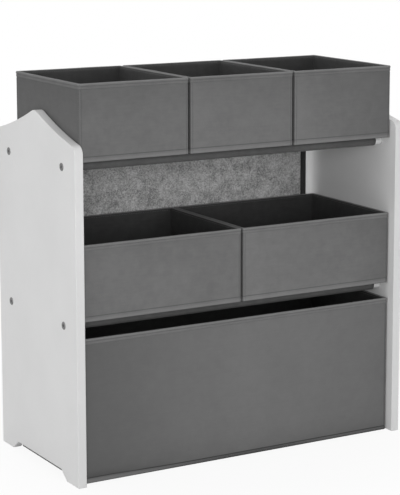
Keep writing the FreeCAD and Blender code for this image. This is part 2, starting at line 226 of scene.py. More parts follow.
# %% Floor
FLOOR_HALF = 20.0
FLOOR_DROP = 0.5 * MM
SHADOW_SHARE = 0.09
SHADOW_FULL, SHADOW_GONE = 250, 650  # millimetres from the middle of the floor

floor_finish = new_finish("studio_floor")
floor_place = floor_finish.solid_place()
paper = floor_finish.grain(floor_place, 0.4, 4)
paper_tone = paper.between(grey(238), grey(242))
paper_shader = floor_finish.node("ShaderNodeBsdfDiffuse", None, {"Color": paper_tone})
white_card = floor_finish.node("ShaderNodeEmission", None, {"Color": grey(255), "Strength": 1.0})
rays = floor_finish.node("ShaderNodeLightPath", output="Is Camera Ray")
floor_x, floor_y, _ = floor_finish.split(floor_place)
way_out = (floor_x * floor_x + floor_y * floor_y) ** 0.5
white_share = rays * way_out.spread(SHADOW_FULL, SHADOW_GONE, 1 - SHADOW_SHARE, 1.0)
floor_mix = {0: white_share, 1: paper_shader, 2: white_card}
floor_finish.end(floor_finish.node("ShaderNodeMixShader", None, floor_mix))

floor_shape = bmesh.new()
bmesh.ops.create_grid(floor_shape, x_segments=8, y_segments=8, size=FLOOR_HALF)
bmesh.ops.translate(floor_shape, vec=(0, 0, -FLOOR_DROP), verts=floor_shape.verts)
floor_mesh = bpy.data.meshes.new("studio_floor")
floor_shape.to_mesh(floor_mesh)
floor_shape.free()
floor_mesh.materials.append(floor_finish.owner)
floor = bpy.data.objects.new("studio_floor", floor_mesh)
bpy.context.scene.collection.objects.link(floor)
print(f"the floor's shadow fades from {SHADOW_FULL} to {SHADOW_GONE} mm out")

# %% [markdown]
# The world is the even light of the room. It lights the object at a low level, while the
# camera and polished metal see white walls.

# %% World
AMBIENT = 0.42

world = bpy.data.worlds.new("white_room")
bpy.context.scene.world = world
room = Finish(world)
room_rays = room.node("ShaderNodeLightPath")
seen = room_rays.math("MAXIMUM", room_rays.other("Is Camera Ray"), room_rays.other("Is Glossy Ray"))
seen = seen.math("MAXIMUM", seen, room_rays.other("Is Transmission Ray"))
soft_light = room.node("ShaderNodeBackground", None, {"Color": grey(255), "Strength": AMBIENT})
white_wall = room.node("ShaderNodeBackground", None, {"Color": grey(255), "Strength": 1.0})
room_mix = {0: seen, 1: soft_light, 2: white_wall}
room.end(room.node("ShaderNodeMixShader", None, room_mix), "ShaderNodeOutputWorld")
print(f"the room gives {AMBIENT} of a full white light")

# %% [markdown]
# One large soft lamp stands behind the camera and lights what the camera sees, down to the felt
# at the back of the deep bay. Weaker ones stand to the left and to the right of it and behind
# the object, so that no side goes dark. These stand low, which leaves the upper faces a little
# darker than the fronts, and a lamp overhead lights the rims and the floors of the open bins.
# Each is more than a metre wide, so the shadows have no edge. A lamp's strength is given as the
# share of a surface's own colour that it adds to a surface that faces it.

# %% Lamps
LAMP_AIM = Vector((0, 0, 0.3))
LAMP_DISTANCE = 3.4
LAMP_WIDTH = 1.2


def soft_lamp(name, left_of_front, height, share):
    """A lamp that the object sees left_of_front and at a height, both in degrees."""
    around, up = math.radians(left_of_front), math.radians(height)
    way = Vector((-math.sin(around) * math.cos(up), -math.cos(around) * math.cos(up), math.sin(up)))
    data = bpy.data.lights.new(name, "AREA")
    data.energy, data.size = share * (math.pi * LAMP_DISTANCE) ** 2, LAMP_WIDTH
    lamp = bpy.data.objects.new(name, data)
    lamp.location = LAMP_AIM + way * LAMP_DISTANCE
    lamp.rotation_euler = (-way).to_track_quat("-Z", "Y").to_euler()
    lamp.visible_camera = False
    bpy.context.scene.collection.objects.link(lamp)
    print(f"{name} gives {data.energy:.0f} watts")


soft_lamp("key_lamp", 30, 10, 0.285)
soft_lamp("top_lamp", 0, 89, 0.17)
soft_lamp("left_lamp", 82, 14, 0.12)
soft_lamp("right_lamp", -22, 10, 0.12)
soft_lamp("rear_left_lamp", 150, 15, 0.08)
soft_lamp("rear_right_lamp", -140, 15, 0.22)
bpy.context.scene.view_settings.view_transform = "Standard"

# %% [markdown]
# ## Finishes of the hard parts
# The side boards are pressed wood board, sprayed and rolled white: almost flat, with a fine
# stipple. Their edges get painted shade, a little darker than the faces, so the finish asks how
# far a point is from the middle of its board. Colour, roughness and bump all come from noise in
# the object's own space, so that the finish stays put when a bin slides or the view turns.

# %% Painted board
board_low, board_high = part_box("right_side_panel")
BOARD_MIDDLE = (board_low.x + board_high.x) / 2 / MM
BOARD_HALF = (board_high.x - board_low.x) / 2 / MM
EDGE_ENDS = (BOARD_HALF - 0.10, BOARD_HALF - 0.02)  # millimetres from the board's middle
print(f"a board is {2 * BOARD_HALF:.1f} mm thick and its middle is at {BOARD_MIDDLE:.1f} mm")


def painted_board():
    finish = new_finish("painted_board")
    place = finish.solid_place()
    stipple = finish.grain(place, 1.1, 3)
    drift = finish.grain(place, 0.010, 2)
    uneven = (0.6 * drift + 0.4 * stipple).spread(0.3, 0.7)
    depth = abs(abs(finish.split(place)[0]) - BOARD_MIDDLE)
    # painted shade: the board's edges are made a shade darker than its faces
    on_shaded_edge = depth.spread(*EDGE_ENDS, 1.0, 0.0)
    face_tone = uneven.between(grey(223), grey(228))
    shaded_edge_tone = uneven.between(grey(217), grey(222))
    tone = on_shaded_edge.between(face_tone, shaded_edge_tone)
    roughness = finish.grain(place, 0.06, 3).spread(0.3, 0.7, 0.40, 0.52)
    height = stipple + 0.8 * finish.grain(place, 0.25, 2)
    sockets = {"Base Color": tone, "Roughness": roughness, "Normal": finish.relief(height, 0.035)}
    return finish.surface({**sockets, "Specular IOR Level": 0.35})


# %% [markdown]
# The tubes carry a baked powder coat, which draws together into a soft orange peel. The plugs
# in the tube ends are moulded from plastic in a sparked tool, so they have a fine even grain.

# %% Powder coat and moulded plastic
def powder_coat():
    finish = new_finish("powder_coat")
    place = finish.solid_place()
    peel = finish.grain(place, 0.7, 2)
    tone = finish.grain(place, 0.05, 2).spread(0.3, 0.7).between(grey(216), grey(226))
    roughness = peel.spread(0.3, 0.7, 0.30, 0.38)
    bumps = finish.relief(peel, 0.05)
    return finish.surface({"Base Color": tone, "Roughness": roughness, "Normal": bumps})


def moulded_plastic():
    finish = new_finish("moulded_plastic")
    place = finish.solid_place()
    sparks = finish.grain(place, 6.0, 2)
    tone = finish.grain(place, 0.3, 3).spread(0.3, 0.7).between(grey(168), grey(182))
    roughness = sparks.spread(0.3, 0.7, 0.45, 0.6)
    bumps = finish.relief(sparks, 0.02)
    return finish.surface({"Base Color": tone, "Roughness": roughness, "Normal": bumps})


# %% [markdown]
# The screw heads are zinc plated steel, faced on a lathe. Rings round each screw's own axis need
# the distance from it: the four screws of a side stand in a rectangle, so folding the pattern
# over with two absolute values brings all four axes to one point.

# %% Plated steel
def plated_steel(tube_y, lower_z, upper_z):
    finish = new_finish("plated_steel")
    place = finish.solid_place()
    _, y, z = finish.split(place)
    across = abs(y) - tube_y / MM
    along = abs(z - (lower_z + upper_z) / 2 / MM) - (upper_z - lower_z) / 2 / MM
    radius = (across * across + along * along) ** 0.5
    rings = radius.wave(0.35)
    smudge = finish.grain(place, 0.6, 3)
    tone = smudge.spread(0.3, 0.7).between(grey(126), grey(150))
    roughness = smudge.spread(0.3, 0.7, 0.28, 0.42)
    sockets = {"Base Color": tone, "Metallic": 1.0, "Roughness": roughness}
    return finish.surface({**sockets, "Normal": finish.relief(rings, 0.006)})


# %% [markdown]
# The stiffeners inside the bins are brown fibreboard, pressed from waste wood: dull, with flecks.

# %% Fibreboard
FIBRE_DARK, FIBRE_LIGHT = (0.36, 0.29, 0.21, 1.0), (0.46, 0.37, 0.27, 1.0)
FLECK_BROWN = (0.17, 0.13, 0.09, 1.0)


def fibreboard():
    finish = new_finish("fibreboard")
    place = finish.solid_place()
    pulp = finish.grain(place, 0.9, 5, 0.65)
    flecks = finish.grain(place, 1.7, 1).spread(0.68, 0.74)
    tone = flecks.between(pulp.spread(0.3, 0.7).between(FIBRE_DARK, FIBRE_LIGHT), FLECK_BROWN)
    bumps = finish.relief(pulp, 0.08)
    return finish.surface({"Base Color": tone, "Roughness": 0.95, "Normal": bumps})


# %% [markdown]
# ## Finishes of the sewn parts
# The bins are sewn from bonded cloth: fibres laid down in every direction and welded together by
# a grid of hot points. Near by it shows the points and the fibres, and from further off a faint
# cloudiness with brushed streaks along the roll. Points, fibres and streaks follow the cloth's
# own flat coordinates, which every sewn piece has. Folds over an edge get a painted highlight,
# and seams and creases get painted shade. A number on the piece's points says which: up to 1
# for the painted highlight, down to -1 for the painted shade. A second number takes the cloth
# towards a darker grey as painted shade.

# %% Bonded cloth
# the grey that painted shade takes the cloth towards
SHADED = grey(70)
SHADE_LEVEL = 0.030  # share of SHADED that takes one level of grey off the cloth


def bonded_cloth(name, dark, light, fold_highlight_grey, crease_shade_grey):
    finish = new_finish(name)
    across, along, _ = finish.split(finish.cloth_place())
    points = (across.wave(1.5) * along.wave(1.5)).spread(0.45, 0.8)
    fibres = finish.grain(finish.cloth_place((0.25, 2.4, 1), 28), 1.0, 3, 0.6)
    crossing = finish.grain(finish.cloth_place((2.2, 0.25, 1), -17), 1.0, 3, 0.6)
    streaks = finish.grain(finish.cloth_place((0.035, 0.30, 1), 3), 1.0, 2, 0.5)
    clouds = finish.grain(finish.solid_place(), 0.08, 3, 0.5)
    patches = finish.grain(finish.solid_place(), 0.012, 2)
    mixed = 0.11 * fibres + 0.11 * crossing + 0.10 * streaks + 0.18 * clouds + 0.20 * patches
    tone = mixed.spread(0.22, 0.48).between(dark, light)
    # painted shade: the cloth is darkened by the painted shade number on its points
    tone = finish.stored("painted_shade").between(tone, SHADED)
    highlight_and_shade = finish.stored("highlight_and_shade")
    # painted highlight where the number on the points is above 0, painted shade where it is below
    tone = (highlight_and_shade * (0.7 + 0.3 * fibres)).between(tone, fold_highlight_grey)
    tone = (-1 * highlight_and_shade).between(tone, crease_shade_grey)
    roughness = (fibres - 0.3 * points).spread(0.2, 0.8, 0.78, 0.95)
    height = 0.5 * fibres + 0.5 * crossing + 0.6 * clouds + 0.4 * streaks - 0.45 * points
    sockets = {"Base Color": tone, "Roughness": roughness, "Normal": finish.relief(height, 0.09)}
    nap = {"Sheen Weight": 0.03, "Sheen Roughness": 0.45, "Specular IOR Level": 0.15}
    return finish.surface({**sockets, **nap})


# %% [markdown]
# The back is needled felt, a heather of dark and pale fibres. The mottling is several times
# coarser than the cloth's and far stronger, so it gets its own mixture of noises.

# %% Needled felt
def needled_felt():
    finish = new_finish("needled_felt")
    place = finish.solid_place()
    blots = finish.grain(place, 0.06, 3, 0.6)
    specks = finish.grain(place, 0.30, 3, 0.7)
    tufts = finish.node("ShaderNodeTexVoronoi", None, {"Vector": place, "Scale": 0.55}, "Color")
    hairs = finish.grain(finish.solid_place((1.9, 1, 0.5)), 0.7, 3, 0.6)
    crossing = finish.grain(finish.solid_place((0.5, 1, 1.9)), 0.7, 3, 0.6)
    mixed = 0.30 * blots + 0.30 * specks + 0.12 * finish.split(tufts)[0]
    mixed = mixed + 0.14 * hairs + 0.14 * crossing
    tone = mixed.spread(0.34, 0.66).between(grey(125), grey(220))
    pits = finish.grain(place, 0.9, 2).spread(0.5, 0.8)
    height = 0.8 * hairs + 0.8 * crossing + 0.6 * blots - 0.4 * pits
    roughness = blots.spread(0.3, 0.7, 0.86, 0.98)
    sockets = {"Base Color": tone, "Roughness": roughness, "Normal": finish.relief(height, 0.35)}
    nap = {"Sheen Weight": 0.15, "Sheen Roughness": 0.5, "Specular IOR Level": 0.2}
    return finish.surface({**sockets, **nap})


# %% [markdown]
# The felt's ends are bound with a dark woven tape, whose twill shows as fine slanting ribs. The
# thread is a two-ply twist, so its bumps slant the other way.

# %% Twill tape and thread
def twill_tape():
    finish = new_finish("twill_tape")
    x, _, z = finish.split(finish.solid_place())
    ribs = (x + z).wave(0.9)
    picks = (z - 0.3 * x).wave(0.45)
    marks = finish.grain(finish.solid_place(), 0.15, 4)
    tone = (0.5 * marks + 0.25 * ribs + 0.2).spread(0.2, 0.8).between(grey(34), grey(62))
    bumps = finish.relief(ribs + 0.35 * picks, 0.06)
    sockets = {"Base Color": tone, "Roughness": 0.85, "Normal": bumps}
    return finish.surface({**sockets, "Sheen Weight": 0.1})


def twisted_thread(name, dark, light):
    finish = new_finish(name)
    x, y, z = finish.split(finish.solid_place())
    twist = (x + y + 1.3 * z).wave(0.5)
    fuzz = finish.grain(finish.solid_place(), 2.0, 2)
    tone = (0.5 * fuzz + 0.25 * twist + 0.25).spread(0.2, 0.8).between(dark, light)
    bumps = finish.relief(twist, 0.04)
    return finish.surface({"Base Color": tone, "Roughness": 0.7, "Normal": bumps})


# %% [markdown]
# The hard parts keep the solids of the frame, so each only needs its finish, which is found by
# the ending of its name. The tubes are measured here, for the rings on the screws now and for
# the shelves later.

# %% Dress the hard parts
front_tube_low, front_tube_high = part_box("upper_front_tube")
lower_tube_low, lower_tube_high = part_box("middle_front_tube")
TUBE_Y = -(front_tube_low.y + front_tube_high.y) / 2
UPPER_TUBE_Z = (front_tube_low.z + front_tube_high.z) / 2
LOWER_TUBE_Z = (lower_tube_low.z + lower_tube_high.z) / 2

HARD_FINISHES = {
    "_side_panel": painted_board(),
    "_tube": powder_coat(),
    "_tube_inserts": moulded_plastic(),
    "_panel_screws": plated_steel(TUBE_Y, LOWER_TUBE_Z, UPPER_TUBE_Z),
    "_wall_boards": fibreboard(),
}
for node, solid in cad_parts.items():
    for ending, material in HARD_FINISHES.items():
        if node.endswith(ending):
            solid.material_slots[0].material = material
print(f"tubes at y {TUBE_Y:.3f}, z {LOWER_TUBE_Z:.4f} and {UPPER_TUBE_Z:.3f}")

# %% [markdown]
# ## Tools for sewing
# Every sewn piece ends the same way: its faces get flat cloth coordinates, it becomes an object
# that stays at the origin, it rides on a body, and the CAD solids it replaces are hidden.

# %% Finish a sewn piece
def lay_flat(shape):
    """Gives each face the cloth coordinates of its plainest view, in metres."""
    flat = shape.loops.layers.uv.new("cloth")
    shape.normal_update()
    for face in shape.faces:
        facing = [abs(part) for part in face.normal]
        hidden = facing.index(max(facing))
        for loop in face.loops:
            loop[flat].uv = [part for axis, part in enumerate(loop.vert.co) if axis != hidden]


def sewn_piece(name, shape, material, body, nodes=(), thickness=0.0, side=-1.0):
    lay_flat(shape)
    mesh = bpy.data.meshes.new(name)
    shape.to_mesh(mesh)
    shape.free()
    mesh.shade_smooth()
    mesh.materials.append(material)
    piece = bpy.data.objects.new(name, mesh)
    bpy.context.scene.collection.objects.link(piece)
    if thickness:
        wall = piece.modifiers.new("cloth_thickness", "SOLIDIFY")
        wall.thickness, wall.offset, wall.use_even_offset = thickness, side, True
    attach(piece, body)
    if nodes:
        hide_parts(*nodes)
    return piece


# %% [markdown]
# A stitch is a short stretch of thread that lies on the cloth and dives in at both ends. One
# small rounded grain is made once, then copied along each seam, turned a little to one side
# and the other as a machine leaves them.

# %% Stitches
STITCH_PITCH = 3.4 * MM
STITCH_SIZE = (2.5 * MM, 0.50 * MM, 0.40 * MM)
STITCH_SWAY = math.radians(4)

grain_shape = bmesh.new()
bmesh.ops.create_uvsphere(grain_shape, u_segments=6, v_segments=4, radius=0.5)
bmesh.ops.rotate(grain_shape, matrix=Matrix.Rotation(math.pi / 2, 3, "Y"), verts=grain_shape.verts)
bmesh.ops.scale(grain_shape, vec=STITCH_SIZE, verts=grain_shape.verts)
stitch_mesh = bpy.data.meshes.new("stitch")
grain_shape.to_mesh(stitch_mesh)
grain_shape.free()
print("one stitch has", len(stitch_mesh.polygons), "faces")


def sew(shape, start, end, out):
    """Adds a row of stitches to a shape, from start to end on a surface that faces out."""
    start, run, out = Vector(start), Vector(end) - Vector(start), Vector(out)
    count = int(run.length / STITCH_PITCH)
    along = run.normalized()
    margin = (run.length - (count - 1) * STITCH_PITCH) / 2
    for number in range(count):
        sway = Matrix.Rotation(STITCH_SWAY * (-1) ** number, 3, out)
        ahead = sway @ along
        lie = Matrix((ahead, out.cross(ahead), out)).transposed().to_4x4()
        place = Matrix.Translation(start + along * (margin + number * STITCH_PITCH))
        copy = stitch_mesh.copy()
        copy.transform(place @ lie)
        shape.from_mesh(copy)
        bpy.data.meshes.remove(copy)
    return count


# %% [markdown]
# ## The bins
# A bin's outer cloth is one open box. It starts as a cube without its lid, the upright edges are
# rounded with a bevel, and planes cut loops across it: close together where a fold or hem
# steps, and further apart between them. Then every point of a wall moves out or in a little:
# the sewn corners and the bottom hem stand proud, and the wall between them swells and ripples
# as cloth over board does. A cloth simulation was the other choice, but a wall that is
# stretched over a board hardly moves, and its folds have to stay exactly where they are sewn.

# %% Box of cloth
def eased(value, low, high):
    share = min(max((value - low) / (high - low), 0.0), 1.0)
    return share * share * (3 - 2 * share)


def ripple(spot, millimetres, seed):
    return noise.noise(Vector(spot) / (millimetres * MM) + Vector((seed, 2.7 * seed, 0.4)))


def full_box(low, high):
    shape = bmesh.new()
    bmesh.ops.create_cube(shape, size=1)
    bmesh.ops.scale(shape, vec=high - low, verts=shape.verts)
    bmesh.ops.translate(shape, vec=(low + high) / 2, verts=shape.verts)
    return shape


def round_off(shape, items, affect, radius, rounds):
    settings = {"affect": affect, "segments": rounds, "profile": 0.5, "material": -1}
    bmesh.ops.bevel(shape, geom=items, offset=radius, offset_type="OFFSET", **settings)


def open_box(low, high, radius, rounds):
    shape = full_box(low, high)
    shape.normal_update()
    lid = [face for face in shape.faces if face.normal.z > 0.5]
    bmesh.ops.delete(shape, geom=lid, context="FACES_ONLY")
    uprights = [e for e in shape.edges if abs(e.verts[0].co.z - e.verts[1].co.z) > 1e-6]
    round_off(shape, uprights, "EDGES", radius, rounds)
    return shape


def steps_between(low, high, close, pitch):
    """Places from low to high: at the close distances from both ends, and evenly between."""
    places = [low + step for step in close] + [high - step for step in close]
    inner_low, inner_high = low + max(close), high - max(close)
    count = max(2, round((inner_high - inner_low) / pitch))
    step = (inner_high - inner_low) / count
    return places + [inner_low + step * number for number in range(1, count)]


def cut_loops(shape, axis, places):
    facing = Vector([float(number == axis) for number in range(3)])
    for place in places:
        everything = shape.verts[:] + shape.edges[:] + shape.faces[:]
        plane = {"plane_co": facing * place, "plane_no": facing}
        bmesh.ops.bisect_plane(shape, geom=everything, dist=1e-6, **plane)


def move_walls(shape, low, high, move):
    """Moves the points of the walls outwards and stores their painted highlight and painted shade.

    move(along, height, spot, is_side) says these three. along is the distance from the nearest
    upright corner, and height that from the foot.
    """
    highlight_and_shade = shape.verts.layers.float.new("highlight_and_shade")
    painted_shade = shape.verts.layers.float.new("painted_shade")
    middle, half = (low + high) / 2, (high - low) / 2
    shape.normal_update()
    moves = {}
    for vert in shape.verts:
        out = Vector((vert.normal.x, vert.normal.y, 0))
        if out.length < 0.3:
            continue
        reach = [half[axis] - abs(vert.co[axis] - middle[axis]) for axis in (0, 1)]
        is_side = reach[0] < reach[1]
        distance, vert[highlight_and_shade], vert[painted_shade] = move(max(reach), vert.co.z - low.z, vert.co, is_side)
        moves[vert] = out.normalized() * distance
    for vert, distance in moves.items():
        vert.co += distance


# %% [markdown]
# The outer cloth is sewn at its four upright corners and turned up at the foot into a hem. The
# corner seams stand proud, the hem is a soft roll tucked under at the bottom, and the wall
# between them swells a little and puckers above the hem. A few more numbers paint light and
# shade on it: the hems of the bins off the floor get a pale painted highlight, and the wide bin,
# which stands on the floor, gets painted shade over its hem and on it, except at the left end,
# where the hem hangs slack and higher.

# %% Outer cloth
CLOTH = 0.7 * MM
CORNER_RADIUS, CORNER_ROUNDS = 1.6 * MM, 3
SEAM_WIDTH = 3.3 * MM
SEAM_STEP = 0.8 * MM
SEAM_RISE = 0.4 * MM
SEAM_CREASE = 0.7 * MM
SEAM_COLUMNS = [SEAM_WIDTH + steps * SEAM_STEP for steps in (-0.5, 0, 1, 2)]
HEM_STEP = 0.7 * MM
HEM_ROWS = (0.05, 0.14, 0.32, 0.5, 0.68, 0.86)  # shares of the hem's height
FOLD_ROWS = (-1.2, -0.6, 0, 1, 2)  # steps above the hem's edge
CREASE_DEPTH = 0.25 * MM
TUCK_SHARE, TUCK_DEPTH = 0.14, 0.45 * MM
RIM_HEIGHT = 8.6 * MM
RIM_ROWS = [1.2 * MM, 2.4 * MM, 3.6 * MM]
WALL_PITCH = 9.5 * MM
WALL_SWELL, SIDE_SWELL = 1.1, 0.35  # millimetres
SWELL_REACH, RIM_REACH = 45 * MM, 40 * MM


def pressed(distance, width):
    """1 on a sewn line, 0 further off than width."""
    return 1 - eased(abs(distance), 0, width)


def wall_rows(low_z, high_z, hem_height):
    """The heights of a wall's loops, which lie close together on the hem and at the rim."""
    hem_z, rim_z = low_z + hem_height, high_z - RIM_HEIGHT
    rows = [low_z + hem_height * share for share in HEM_ROWS]
    rows += [hem_z + steps * HEM_STEP for steps in FOLD_ROWS]
    return rows + steps_between(hem_z + 2 * HEM_STEP, rim_z, RIM_ROWS, WALL_PITCH) + [rim_z]


def fullness(along, height, tall, hem_height):
    """1 in the middle of a wall, 0 at its seams, its hem and its rim."""
    free = eased(along, SEAM_WIDTH + SEAM_STEP, SWELL_REACH)
    free *= eased(height, hem_height + HEM_STEP, SWELL_REACH)
    return free * eased(tall - height, RIM_HEIGHT, RIM_REACH)


# %% [markdown]
# Painted light is worked out at the foot alone. Both numbers run from 0 to 1: a point with
# painted highlight gets the paler colour of a fold, and one with painted shade the dark colour
# of a crease. A wall's painted shade is read from a short list that goes across it from left
# to right.

# %% Painted highlight and shade
# strengths of the painted highlight and the painted shade at the foot
HEM_HIGHLIGHT, SLACK_HIGHLIGHT = 0.8, 0.6
WALL_SHADE, WALL_SHADE_ENDS = 0.10, (6 * MM, 45 * MM)
CREASE_SHADE, SLACK_SHADE, CREASE_SHADE_HEIGHT = 0.06, 0.20, 9 * MM
HEM_SHADE = 0.42
SOLE_ENDS = (1.0 * MM, 2.0 * MM)
SLACK_END, SLACK_RISE = 0.35, 2.8 * MM
# levels of painted shade added on a bin's sides
SIDE_SHADE = 5


def foot_highlight_and_shade(across, height, hem_height, hem_line, on_hem, slack, standing_on_floor):
    """How much painted highlight and painted shade a point gets. across runs from 0 at the left to
    1.
    """
    # painted highlight: the hem is made paler
    painted_highlight = (1 - standing_on_floor) * HEM_HIGHLIGHT * eased(height, 0, TUCK_SHARE * hem_height)
    painted_highlight *= 1 - eased(height, 0.3 * hem_height, 0.85 * hem_height)
    slack_roll = 1 - eased(abs(height - 0.4 * hem_line), 0, 0.45 * hem_line)
    painted_highlight = max(painted_highlight, SLACK_HIGHLIGHT * on_hem * slack * slack_roll)
    # painted shade: darker towards the foot, over the hem, on it and along the sole
    foot_shade = WALL_SHADE * (1 - eased(height, *WALL_SHADE_ENDS)) * (1 - on_hem * slack)
    over_hem = 1 - eased(height - hem_line, 0, CREASE_SHADE_HEIGHT)
    foot_shade += (CREASE_SHADE + SLACK_SHADE * slack) * over_hem
    right_half = eased(across, 0.2, 0.5) * (1 - 0.55 * eased(across, 0.6, 0.8))
    foot_shade += on_hem * HEM_SHADE * right_half
    sole_shade = (1 - 0.9 * slack) * (1 - eased(height, *SOLE_ENDS))
    return painted_highlight, standing_on_floor * max(foot_shade, sole_shade)


def level_at(levels, share):
    """The number at a share of the way along a list of evenly spaced ones."""
    place = share * (len(levels) - 1)
    step = min(int(place), len(levels) - 2)
    return levels[step] + (levels[step + 1] - levels[step]) * (place - step)


# %% [markdown]
# With those numbers at hand, `move` looks at one point of a wall and says how far it moves and
# how much painted highlight and painted shade it gets. The box is cut beforehand where these
# change fast.

# %% Sew the outer cloth
def outer_cloth(low, high, seed, hem_height, standing_on_floor, shades, top_shade):
    """low and high are the corners of its outer face. The fifth argument is 1 for a bin on the
    floor, whose foot gets painted shade.
    """
    tall, wide = high.z - low.z, high.x - low.x
    shape = open_box(low, high, CORNER_RADIUS, CORNER_ROUNDS)
    cut_loops(shape, 0, steps_between(low.x, high.x, SEAM_COLUMNS, WALL_PITCH))
    cut_loops(shape, 1, steps_between(low.y, high.y, SEAM_COLUMNS, WALL_PITCH))
    cut_loops(shape, 2, wall_rows(low.z, high.z, hem_height))

    def move(along, height, spot, is_side):
        across = min(max((spot.x - low.x) / wide, 0.0), 1.0)
        slack = standing_on_floor * (1 - eased(across, 0.0, SLACK_END))
        hem_line = hem_height + SLACK_RISE * slack
        on_hem = 1 - eased(height - hem_line, 0, HEM_STEP)
        tucked = 1 - eased(height, 0, TUCK_SHARE * hem_height)
        under_rim = eased(tall - height, RIM_HEIGHT - 1 * MM, RIM_HEIGHT + 2 * MM)
        on_seam = (1 - eased(along, SEAM_WIDTH, SEAM_WIDTH + SEAM_STEP)) * under_rim
        seam_crease = 0.6 * under_rim * pressed(along - SEAM_WIDTH, SEAM_CREASE)
        crease = max(pressed(height - hem_line, (0.9 + 0.6 * standing_on_floor) * MM), seam_crease)

        roll = 0.12 + 0.42 * math.sin(math.pi * min(height / hem_line, 1))
        raised = max(on_seam * SEAM_RISE, on_hem * roll * MM)
        raised -= tucked * TUCK_DEPTH + crease * CREASE_DEPTH
        swell = (SIDE_SWELL if is_side else WALL_SWELL) + 0.55 * ripple(spot, 75, seed)
        swell = (swell + 0.16 * ripple(spot, 22, seed)) * fullness(along, height, tall, hem_height)
        near_hem = 1 - eased(height, hem_height, hem_height + 9 * MM)
        pucker = 0.10 * ripple(spot, 7, seed) * near_hem * (1 - tucked)

        marks = (across, height, hem_height, hem_line, on_hem, slack, standing_on_floor)
        painted_highlight, foot_shade = foot_highlight_and_shade(*marks)
        # painted highlight on the hem, painted shade in creases and at the foot
        highlight_and_shade = painted_highlight * (1 - crease) - max(crease, foot_shade * (1 - painted_highlight))
        # painted shade of the wall: from its list, darker towards the top and on the sides
        levels = level_at(shades, across)
        levels += top_shade * eased(height, 0.3 * tall, tall) + (SIDE_SHADE if is_side else 0)
        levels *= 1 - on_hem * slack
        return raised + (swell + pucker) * MM, highlight_and_shade, levels * SHADE_LEVEL

    move_walls(shape, low, high, move)
    return shape


# %% [markdown]
# The lining is a second box inside the wall boards, and its cloth faces into the bin. It is
# cut a little full, so it stands off the boards between its seams.

# %% Lining
LINING = 0.6 * MM
LINING_RADIUS, LINING_ROUNDS = 2.0 * MM, 3
LINING_SEAM, LINING_FOOT = [3 * MM], [6 * MM]


def lining_cloth(low, high, seed):
    """low and high are the corners of the lining's inner face."""
    tall = high.z - low.z
    shape = open_box(low, high, LINING_RADIUS, LINING_ROUNDS)
    cut_loops(shape, 0, steps_between(low.x, high.x, LINING_SEAM, WALL_PITCH))
    cut_loops(shape, 1, steps_between(low.y, high.y, LINING_SEAM, WALL_PITCH))
    cut_loops(shape, 2, steps_between(low.z, high.z, LINING_FOOT, WALL_PITCH))

    def move(along, height, spot, _):
        free = eased(along, 2 * MM, 40 * MM) * eased(height, 8 * MM, 45 * MM)
        free *= eased(tall - height, RIM_HEIGHT, 35 * MM)
        swell = 0.9 + 0.7 * ripple(spot, 60, seed + 5) + 0.3 * ripple(spot, 19, seed)
        # painted shade at the lining's upright corners
        highlight_and_shade = -0.5 * (1 - eased(along, 1 * MM, 3 * MM))
        return -free * swell * MM, highlight_and_shade, 0.0

    move_walls(shape, low, high, move)
    bmesh.ops.reverse_faces(shape, faces=shape.faces[:])
    return shape


# %% [markdown]
# The rim is bound by a strip folded over the walls. It is swept: a ring with rounded corners is
# extruded again and again, and each new ring is scaled and lowered to the next point of the
# strip's section. Under the rolled edge the outer leg steps in at a crease, as in the picture,
# and runs down to the row of stitches. The inner leg is a short lip that dips behind the lining,
# so the edge looks thin from above. A last bridge closes the section.

# %% Rim binding
RIM_SECTION = [  # distance in from the bin's face and distance above its top, in millimetres
    (0.35, -8.8), (-0.10, -8.7), (-0.24, -8.2), (-0.24, -6.4), (-0.14, -4.9), (0.08, -4.4),
    (0.08, -4.0), (-0.36, -3.6), (-0.54, -2.8), (-0.58, -1.8), (-0.44, -0.8), (-0.05, -0.1),
    (0.7, 0.16), (1.8, 0.22), (2.9, 0.14), (3.6, -0.15), (3.95, -0.8), (3.98, -2.2), (3.66, -2.3),
    (3.64, -1.0), (3.2, -0.55), (1.0, -0.55), (0.3, -1.0), (0.4, -5.0),
]
RIM_CREASE = -4.2  # a height in the section, as are the ends of the foot and of the roll
RIM_FOOT, RIM_ROLL = (-8.8, -8.0), (-2.6, -0.9)
RIM_RADIUS, RIM_ROUNDS = 2.6 * MM, 4
RIM_PITCH = 12 * MM
print("the rim's section has", len(RIM_SECTION), "points")


